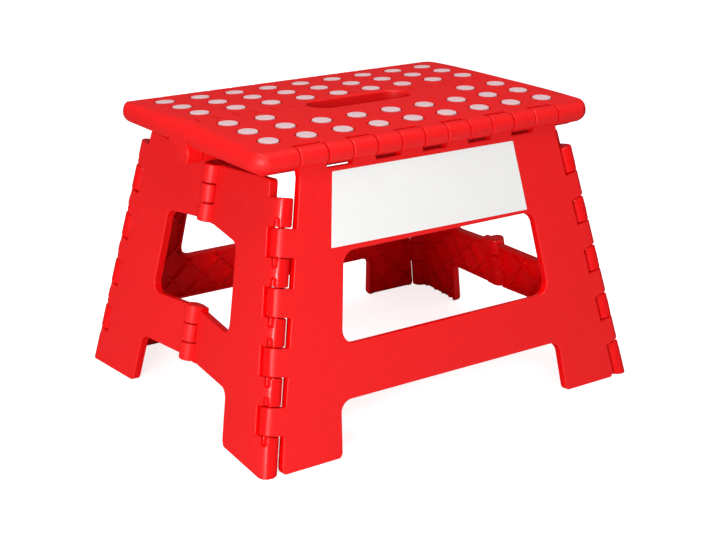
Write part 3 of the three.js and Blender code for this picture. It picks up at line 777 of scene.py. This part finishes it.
def side_panel():
    inner = side_face - plate_thickness
    outline, window = side_outline(), side_window()
    shell = plate(outline, [window], inner, side_face, [(side_face, rim_softness)])
    shell = without(shell, ribbed_hollow(outline, [window], 1, inner, side_face))
    tools = []
    for span in both_ways(edge_knuckles, -slit / 2):
        tools.append(rod(edge_barrel_radius, span, y_to_x, softness=edge_barrel_softness))
        tools.append(block(span, (side_y(side_top_height) - lap, 0), (inner, side_face)))
    for hand in (1, -1):
        corner = side_corner_frame(hand)
        tools += [moved(mesh, corner) for mesh in corner_barrels(hand, False) + corner_stubs()]
    shell = joined(shell, *tools)
    bore = rod(pin_radius + fit_gap, (-top_length, top_length), y_to_x, segments=bore_segments)
    return without(shell, bore, below_floor(side_frame))


def behind_side_skin(face):
    return face.center.z < side_face - skin + skin_margin


side_mesh = side_panel()
for name, turn in (("side_front", side_frame), ("side_back", half_turn @ side_frame)):
    finish(f"{name}_moulding", side_mesh.copy(), turn, name, [name],
           ribbed_polypropylene, behind_side_skin)

# %% [markdown]
# ## End halves
# Each short end is two half panels. They hinge on the side panels at the corners and on each other in the
# middle, and the whole end is set in a little at the middle, so that it always folds inward. One half
# carries the middle barrel of each group of three, and the other half the two outer ones. At the corners
# the ends' barrels have small notches where the side panels' trunnions were pressed in.

# %% End half sizes
end_tuck = math.radians(4.5)
underside = centre_axis.z + fold_gap
end_top_corner, end_top_middle = underside - 2.8, underside - 10.8
end_window_radius = 8
window_top_middle, window_top_side, window_top_reach = underside - 52.8, underside - 56.3, 51.5
window_bottom_middle, window_bottom_side, window_bottom_reach = 78, 75, 59
end_rail_middle, end_rail_side = 40, 38.5
end_leg_at_rail, end_leg_at_floor, end_leg_fillet = 65.5, 71.5, 8
notch_height = 7.5
notch_turn = math.radians(30)
socket_radius = stub_radius + socket_gap
notch_floor = corner_depth - 3.6
middle_length = 14.3
group_tops = (underside - 11.3, window_bottom_middle + 3)
pin_reach = 4.2
middle_depth = corner_depth + fold_gap

normal = Matrix.Rotation(-end_tuck, 3, corner_up) @ Vector((-1, 0, math.tan(end_lean))).normalized()
across = normal.cross(corner_up)
middle_up = normal.cross(Vector((0, 1, 0))).normalized()
if middle_up.z < 0:
    middle_up.negate()
middle_x = corner_foot.x + (middle_depth + normal.y * corner_foot.y) / normal.x
middle_foot = Vector((middle_x, 0, 0)) - corner_foot
middle_into = Vector((-middle_up.dot(corner_up), middle_up.dot(across), 0))


def mirrored(vector):
    return Vector((vector.x, -vector.y, vector.z))


end_front_frame = basis(across, corner_up, -normal, corner_foot)
end_back_frame = basis(mirrored(across), mirrored(corner_up), mirrored(normal), mirrored(corner_foot))
print(f"the middle hinge stands {middle_x:.1f} mm from the middle at the floor")


# %% End half outline
def end_point(distance, height):
    """The place on an end's face at a distance from the middle plane and a height above the floor."""
    point = Vector((0, -distance, height)) - corner_foot
    point.x = (corner_depth - normal.y * point.y - normal.z * point.z) / normal.x
    return point.dot(across), point.dot(corner_up)


def corner_point(height):
    return plate_edge, (height - plate_edge * across.z - corner_depth * normal.z) / corner_up.z


def middle_point(height, distance):
    place = middle_foot + middle_up * (height / middle_up.z)
    return (place.dot(across) + distance * middle_into.x, place.dot(corner_up) + distance * middle_into.y)


def end_outline():
    foot = -foot_radius * math.sin(end_lean)
    return [
        (*corner_point(foot), 0),
        (*end_point(end_leg_at_floor, foot), end_leg_fillet),
        (*end_point(end_leg_at_rail, end_rail_side), end_leg_fillet),
        (*middle_point(end_rail_middle, plate_edge), 0),
        (*middle_point(window_bottom_middle, plate_edge), 0),
        (*end_point(window_bottom_reach, window_bottom_side), end_window_radius),
        (*end_point(window_top_reach, window_top_side), end_window_radius),
        (*middle_point(window_top_middle, plate_edge), 0),
        (*middle_point(end_top_middle, plate_edge), panel_corner_radius),
        (*corner_point(end_top_corner), panel_corner_radius),
    ]


# %% Middle barrels and notches
def middle_frame(hand):
    up = Vector((middle_up.dot(across), middle_up.dot(corner_up), 0))
    place = (middle_foot.dot(across), middle_foot.dot(corner_up), hand * middle_depth)
    return basis(middle_into, up, middle_into.cross(up), place)


def middle_spans(orders):
    spans = []
    for group_top in group_tops:
        for order in orders:
            top = group_top / middle_up.z - order * middle_length
            spans.append((top - middle_length + slit / 2, top - slit / 2))
    return spans


def pin_spans():
    return [(bottom - pin_reach, top + pin_reach) for bottom, top in middle_spans([1])]


def notches(hand):
    """Sockets for the trunnions, with a notch at each that is open toward the outside of the corner."""
    turn = Matrix.Rotation(-hand * (math.pi / 2 + notch_turn), 4, "Y")
    tools = []
    for bottom, top in corner_spans(False):
        span = (bottom - stub_length - socket_gap, top + stub_length + socket_gap)
        tools.append(rod(socket_radius, span))
        for near, far in ((bottom, bottom - notch_height), (top, top + notch_height)):
            round_end = far + math.copysign(socket_radius, near - far)
            xs, zs = (notch_floor, 2 * corner_depth), (-socket_radius, socket_radius)
            tools.append(block(xs, (near, round_end), zs, turn))
            drill = turn @ Matrix.Translation((0, round_end, 0)) @ y_to_x
            tools.append(rod(socket_radius, xs, drill, segments=bore_segments))
    return tools


def pin_holes(hand, is_outer_pair):
    """The single half's bores fit the pin. In the outer pair its ends have room to drift as it folds."""
    if not is_outer_pair:
        return [rod(pin_radius + fit_gap, span, segments=hole_segments) for span in pin_spans()]
    heel, rim, far, wide = pin_radius + socket_gap, 2 * corner_depth, 5.3, 2.9
    rise, steep, flat = 1.3 * heel, math.radians(80), math.radians(8)
    mouth = [(-heel, -heel), (heel, -heel), (rim * math.cos(flat), rim * math.sin(flat)), (rim, rim),
             (rim * math.cos(steep), rim * math.sin(steep)), (-heel, rise)]
    socket = [(-wide, -wide), (wide, -wide), (wide, wide), (heel, far), (-heel, far), (-wide, wide)]
    flip = Matrix.Rotation(-math.pi / 2, 4, "X")
    tools = []
    for (bottom, top), outline in zip(pin_spans(), (mouth, socket)):
        corners = [(-ahead, hand * out) for ahead, out in outline]
        tools.append(prism(corners, (bottom - socket_gap, top + socket_gap), flip))
    return tools


# %% End halves
def end_half(hand, is_outer_pair):
    inner, outer = hand * plate_inner, hand * corner_depth
    outline = end_outline()
    back, front = sorted((inner, outer))
    shell = plate(outline, [], back, front, [(outer, rim_softness)])
    shell = without(shell, ribbed_hollow(outline, [], hand, inner, outer))
    shell = joined(shell, *corner_barrels(hand, True))
    shell = without(shell, *notches(hand))
    spans = middle_spans([0, 2] if is_outer_pair else [1])
    first, *others = barrels(spans, hand, fold_gap, fold_gap + plate_thickness)
    hinge = without(joined(first, *others), *pin_holes(hand, is_outer_pair))
    shell = joined(shell, moved(hinge, middle_frame(hand)))
    floor_frame = end_front_frame if hand < 0 else end_back_frame
    return without(shell, below_floor(floor_frame))


def behind_end_skin(hand):
    return lambda face: hand * face.center.z < corner_depth - skin + skin_margin


outer_pair, single = end_half(-1, True), end_half(1, False)
for name, mesh, turn, hand in (
    ("end_left_front", outer_pair, end_front_frame, -1),
    ("end_right_back", outer_pair, half_turn @ end_front_frame, -1),
    ("end_left_back", single, end_back_frame, 1),
    ("end_right_front", single, half_turn @ end_back_frame, 1),
):
    finish(f"{name}_moulding", mesh.copy(), turn, name, [name],
           ribbed_polypropylene, behind_end_skin(hand))

# %% [markdown]
# ## The two halves of the top
# The top is moulded in two halves. Their edges meet in teeth that take turns, with a barrel of the middle
# hinge under each, so that the seam carries weight and doesn't pinch. The crown is domed by 3 mm and rolls
# over at the short ends. Along the long edges it has notches for the side panels' barrels, and the pieces
# between the notches are barrels of the same hinge. All of it is drawn as one block first and parted
# afterwards, so the two halves match at the seam.

# %% Top sizes
crown_drop, crown_steps, barrel_steps = 3.1, 12, 16
plan_corner_radius, rim_radius, ledge_inset = 15, 10, 8
top_skin, top_wall, rim_wall, core_inset = 3, 2.4, 14.4, 12
edge_ledge = -edge_axis.y - ledge_inset
fold_depth = stand_height - centre_axis.z
centre_barrel_radius = 8.5
tooth_edges = (54.3, 70, 85.7, 101.4, 117.2, 133)
tooth_reach, seam_gap, seam_wall, lug_inset = 4.5, 0.8, 3, 1.5
lug_fillet, lug_softness = 6, 1.2
slot_half_length, slot_front, slot_back, slot_softness = 44, -21, 7, 1.6
notch_lip, notch_gap = 4.5, 0.6
dot_radius, dot_gap, dot_pitch, dot_raise = 7.1, 0.95, 30, 0.3
dots_each_way = 4
grip_rows = (21, 48.5, 76)
runner_half_width, runner_thickness = 2, 1.6
edge_pin_reach = 120
along_x = Matrix(((0, 0, 1, 0), (1, 0, 0, 0), (0, 1, 0, 0), (0, 0, 0, 1)))
y_to_z = Matrix.Rotation(math.pi / 2, 4, "X")
middle_line = Matrix.Translation((0, 0, centre_axis.z)) @ y_to_x


# %% The whole top
def crown(y):
    return stand_height - crown_drop * (y / edge_axis.y) ** 2


def top_section():
    """The section across the width: a domed crown, a barrel at each edge and a flat underside."""
    axis = -edge_axis.y
    half_circle = [math.pi * step / barrel_steps for step in range(barrel_steps + 1)]
    crown_ys = [axis * (1 - 2 * step / crown_steps) for step in range(1, crown_steps)]
    lift = edge_axis.z
    right = [(axis + edge_barrel_radius * math.sin(a), lift - edge_barrel_radius * math.cos(a))
             for a in half_circle]
    left = [(-y, z) for y, z in reversed(right)]
    over = [(y, crown(y)) for y in crown_ys]
    return [(-edge_ledge, underside), (edge_ledge, underside), *right, *over, *left]


def slot_outline(growth=0.0):
    half_width = (slot_back - slot_front) / 2
    reach, radius = slot_half_length + growth, half_width + growth - round_margin
    return both_sides([(reach, slot_front - growth, radius), (reach, slot_back + growth, radius)])


def whole_top():
    """The section run along the top, its short ends rolled into a bead as thick as the edge barrels."""
    low, bead_low = underside - overrun, edge_axis.z - edge_barrel_radius
    x, y, wide = top_length / 2, top_depth / 2 + fit_gap, top_length
    plan = both_sides([(x, -y, plan_corner_radius), (x, y, plan_corner_radius)])
    rims = [(stand_height, rim_radius), (bead_low, edge_barrel_radius)]
    rolled = plate(plan, [], bead_low, stand_height, rims)
    core_x, core_y = x - core_inset, edge_ledge + top_wall + edge_barrel_radius
    core = block((-core_x, core_x), (-core_y, core_y), (low, edge_axis.z))
    field = both_sides([(wide, -wide, 0), (wide, wide, 0)])
    slotted = plate(field, [slot_outline()], low, stand_height, [(stand_height, slot_softness)])
    section = prism(top_section(), (-wide, wide), along_x)
    return common(common(section, joined(rolled, core)), slotted)


# %% Teeth of the seam
def seam_spans(is_front):
    """The front half has every other tooth. The back half has the rest, and the wide one at the slot."""
    edges = (*tooth_edges, top_length)
    if is_front:
        return both_ways(zip(edges[0::2], edges[1::2]), -slit / 2)
    wide = (-edges[0] + slit / 2, edges[0] - slit / 2)
    return [wide, *both_ways(zip(edges[1::2], edges[2::2]), -slit / 2)]


def seam_block(side, at_crown, at_axis, span):
    """All that lies on one side of a leaning seam face, given its distances at the crown and the axis."""
    above = at_crown - (at_axis - at_crown) * overrun / fold_depth
    corners = [(above, stand_height + overrun), (top_depth, stand_height + overrun),
               (top_depth, centre_axis.z), (at_axis, centre_axis.z)]
    return prism([(side * y, z) for y, z in corners], span, along_x)


def centre_barrels(spans):
    """Barrels under the teeth. The wide tooth has one on each side of the handle slot."""
    reach = slot_half_length + top_wall
    tools = []
    for start, end in spans:
        halves = [(start, -reach), (reach, end)] if start < 0 < end else [(start, end)]
        for span in halves:
            tools.append(rod(centre_barrel_radius, span, middle_line, softness=centre_barrel_softness))
    return tools


def end_lugs(side):
    """The last teeth run down the ends as drop-shaped lugs, flush with the rim, filleted into its bead."""
    r, low, high = centre_barrel_radius, centre_axis.z - centre_barrel_radius, edge_axis.z
    foot = edge_axis.z - edge_barrel_radius
    outline = [(-r, low, r - round_margin), (r, low, r - round_margin), (r, foot, lug_fillet),
               (r + 2 * lug_fillet, foot, 0), (r + 2 * lug_fillet, high, 0), (-r, high, 0)]
    room = joined(seam_block(side, -tooth_reach, -r, (-top_length, top_length)),
                  block((-top_length, top_length), (-top_depth, top_depth), (0, centre_axis.z)))
    inner, outer = tooth_edges[-1] + slit / 2, top_length / 2 - fit_gap
    lugs = []
    for near, far, face in ((inner, outer, outer), (-outer, -inner, -outer)):
        lug = moved(plate(outline, [], near, far, [(face, lug_softness)]), along_x)
        lugs.append(common(lug, room))
    return lugs


# %% Pockets under the top
def between_ribs(places, low, high):
    """The stretches between the ribs and from the outer ones to the walls."""
    starts = [low, *(place + rib_thickness / 2 for place in places)]
    ends = [*(place - rib_thickness / 2 for place in places), high]
    return list(zip(starts, ends))


rows_between = [(grip_rows[0] + grip_rows[1]) / 2, (grip_rows[1] + grip_rows[2]) / 2]
pocket_rows = between_ribs(rows_between, centre_barrel_radius + seam_gap + seam_wall, edge_ledge - top_wall)
columns_between = [(number + 0.5) * dot_pitch for number in range(-dots_each_way, dots_each_way)]
pocket_end = top_length / 2 - rim_wall
pocket_columns = between_ribs(columns_between, -pocket_end, pocket_end)


def ceiling(row):
    """The underside of the skin over a row of pockets."""
    return crown(pocket_rows[row][1]) - top_skin


def facing(side, near, far):
    """A stretch away from the seam, on the front or the back half."""
    return (near, far) if side > 0 else (-far, -near)


def pockets(side):
    first, *others = [
        block(column, facing(side, near, far), (underside - overrun, ceiling(row)))
        for row, (near, far) in enumerate(pocket_rows) for column in pocket_columns
    ]
    around_slot = plate(slot_outline(top_wall), [], underside - 2 * overrun, stand_height)
    return without(joined(first, *others), around_slot)


# %% Rubber grips
def dot_places(side, row):
    """The dots of a row, in one or two groups: the handle slot leaves the front's inner row its ends."""
    places = [number * dot_pitch for number in range(-dots_each_way, dots_each_way + 1)]
    if side > 0 or row > 0:
        return [places]
    clear = 2.5 * dot_pitch
    return [[x for x in places if x < -clear], [x for x in places if x > clear]]


def runner(places, side, row, growth=0.0):
    """The strip that joins a row's dots under the skin."""
    y, top = side * grip_rows[row], ceiling(row) - fit_gap
    half = runner_half_width + growth
    xs = (places[0] - growth, places[-1] + growth)
    return block(xs, (y - half, y + half), (top - runner_thickness - growth, top + growth))


def standing_rod(radius, x, y, zs, softness=0.0):
    """An upright rod whose ends follow the slope of the crown."""
    lean = Matrix.Identity(4)
    lean[2][1] = -2 * crown_drop * y / edge_axis.y ** 2
    return rod(radius, zs, Matrix.Translation((x, y, 0)) @ lean @ y_to_z, softness)


def grip(side, row, places):
    y, bottom = side * grip_rows[row], ceiling(row) - fit_gap - runner_thickness
    zs = (bottom, crown(y) + dot_raise)
    dots = [standing_rod(dot_radius, x, y, zs, dot_softness) for x in places]
    return joined(runner(places, side, row), *dots)


def grip_cuts(side):
    tools = []
    for row, y in enumerate(grip_rows):
        for places in dot_places(side, row):
            tools.append(runner(places, side, row, fit_gap))
            zs = (ceiling(row) - top_skin, stand_height + overrun)
            tools += [standing_rod(dot_radius + dot_gap, x, side * y, zs) for x in places]
    return tools


# %% Pins of the top
centre_pin_span = (slot_half_length + top_wall + fit_gap, top_length / 2 - lug_inset - top_wall)
edge_pin_span = (-edge_pin_reach, top_length / 2 - plan_corner_radius)


def pin_line(side):
    """The frame of a long edge's hinge line, with Y along the pin."""
    return Matrix.Translation((0, side * -edge_axis.y, edge_axis.z)) @ y_to_x


def top_bores(side):
    start, end = centre_pin_span
    bores = [
        ((edge_pin_span[0] - fit_gap, top_length), pin_line(side)),
        ((start - overrun, end + fit_gap), middle_line),
        ((-end - fit_gap, overrun - start), middle_line),
    ]
    return [rod(pin_radius + fit_gap, span, line, segments=bore_segments) for span, line in bores]


# %% Top halves
def edge_notches(side):
    """Room for the side panel's barrels. The crown's lip comes close over them, so a dark line shows."""
    lip = -edge_axis.y - notch_lip
    tools = []
    for span in both_ways(edge_knuckles, slit / 2):
        tools.append(block(span, facing(side, lip, top_depth), (0, stand_height + overrun)))
        tools.append(rod(edge_barrel_radius + notch_gap, span, pin_line(side)))
    return tools


def top_half(whole, side):
    open_span = (-top_length, top_length)
    field = seam_block(side, tooth_reach + seam_gap, centre_barrel_radius + seam_gap, open_span)
    teeth = [seam_block(side, -tooth_reach, -centre_barrel_radius, span)
             for span in seam_spans(side < 0)]
    body = common(whole, joined(field, *teeth))
    inner_spans = [span for span in seam_spans(side < 0) if max(map(abs, span)) < tooth_edges[-1]]
    lugs = end_lugs(side) if side > 0 else []
    body = joined(without(body, pockets(side)), *centre_barrels(inner_spans), *lugs)
    return without(body, *edge_notches(side), *top_bores(side), *grip_cuts(side))


whole = whole_top()
for side, name in ((-1, "top_front"), (1, "top_back")):
    finish(f"{name}_moulding", top_half(whole.copy(), side), Matrix(), name, [name],
           plain_polypropylene, softness=top_softness)

# %% [markdown]
# ## Grips, label and pins
# Each row of dots is one rubber moulding that was pushed up through the holes from below, so a thin dark
# ring shows round every dot. The label is a bare film that lies on the front panel above its window. The
# pins are steel wire with the ends rounded over.

# %% Place the grips
row_names = ("inner", "middle", "outer")
for side, body in ((-1, "top_front"), (1, "top_back")):
    for row, row_name in enumerate(row_names):
        groups = dot_places(side, row)
        endings = ("",) if len(groups) == 1 else ("_left", "_right")
        for places, ending in zip(groups, endings):
            node = f"grip_{body.removeprefix('top_')}_{row_name}{ending}"
            finish(f"{node}_rubber", grip(side, row, places), Matrix(), body, [node], rubber,
                   softness=0)

# %% Label
label_radius, label_thickness, label_gap = 0.6, 0.3, 0.1
label_back = side_face + label_gap
label_places = (-94, 143.9), (78, 142.4), (70, 193.6), (-86.8, 194.4)  # across, height
label_corners = [(across, side_y(height), label_radius) for across, height in label_places]
finish("label_film", plate(label_corners, [], label_back, label_back + label_thickness), side_frame,
       "side_front", ["label"], film, softness=label_softness)


# %% Pins
def place_pin(node, body, span, turn):
    wire_mesh = rod(pin_radius, span, turn, pin_softness, pin_segments)
    finish(f"{node}_wire", wire_mesh, Matrix(), body, [node], wire, softness=0)


start, end = centre_pin_span
place_pin("pin_centre_left", "top_front", (-end, -start), middle_line)
place_pin("pin_centre_right", "top_front", (start, end), middle_line)
place_pin("pin_edge_front", "top_front", edge_pin_span, pin_line(-1))
place_pin("pin_edge_back", "top_back", edge_pin_span, pin_line(1))
for level, span in zip(("upper", "lower"), pin_spans()):
    left_line = end_back_frame @ middle_frame(1)
    place_pin(f"pin_middle_left_{level}", "end_left_back", span, left_line)
    place_pin(f"pin_middle_right_{level}", "end_right_front", span, half_turn @ left_line)
